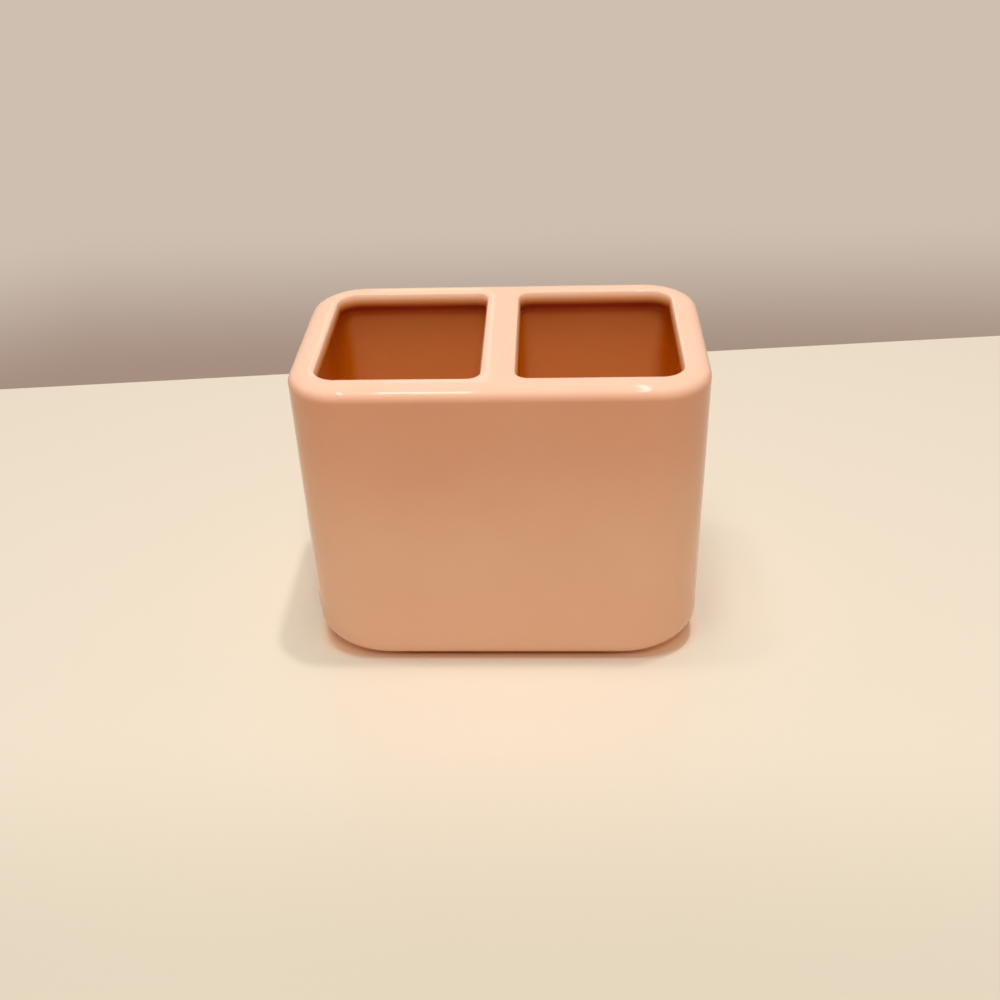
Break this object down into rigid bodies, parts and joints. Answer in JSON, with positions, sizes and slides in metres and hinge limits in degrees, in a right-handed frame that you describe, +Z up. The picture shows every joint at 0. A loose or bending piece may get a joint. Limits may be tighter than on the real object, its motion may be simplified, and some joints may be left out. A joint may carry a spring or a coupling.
{
  "type": "toothbrush holder",
  "caption": "Free-standing glazed ceramic box with soft rounded edges and a divider, open at the top through rolled mouths, for holding toothbrushes and toothpaste upright.",
  "frame": {"origin": "on the ground, under the middle of the body", "axes": "+Z up out of the mouths, +X to the right along the longest side, the front faces -Y"},
  "size_m": [0.112, 0.068, 0.0895],
  "materials": {
    "glazed_ceramic": "glossy peach glaze",
    "foam_pad": "matt off-white closed-cell foam"
  },
  "bodies": {
    "root": {"body_shell": "glazed_ceramic", "divider_wall": "glazed_ceramic", "top_rim": "glazed_ceramic", "pad_front_left": "foam_pad", "pad_front_right": "foam_pad", "pad_back_left": "foam_pad", "pad_back_right": "foam_pad"}
  },
  "joints": []
}
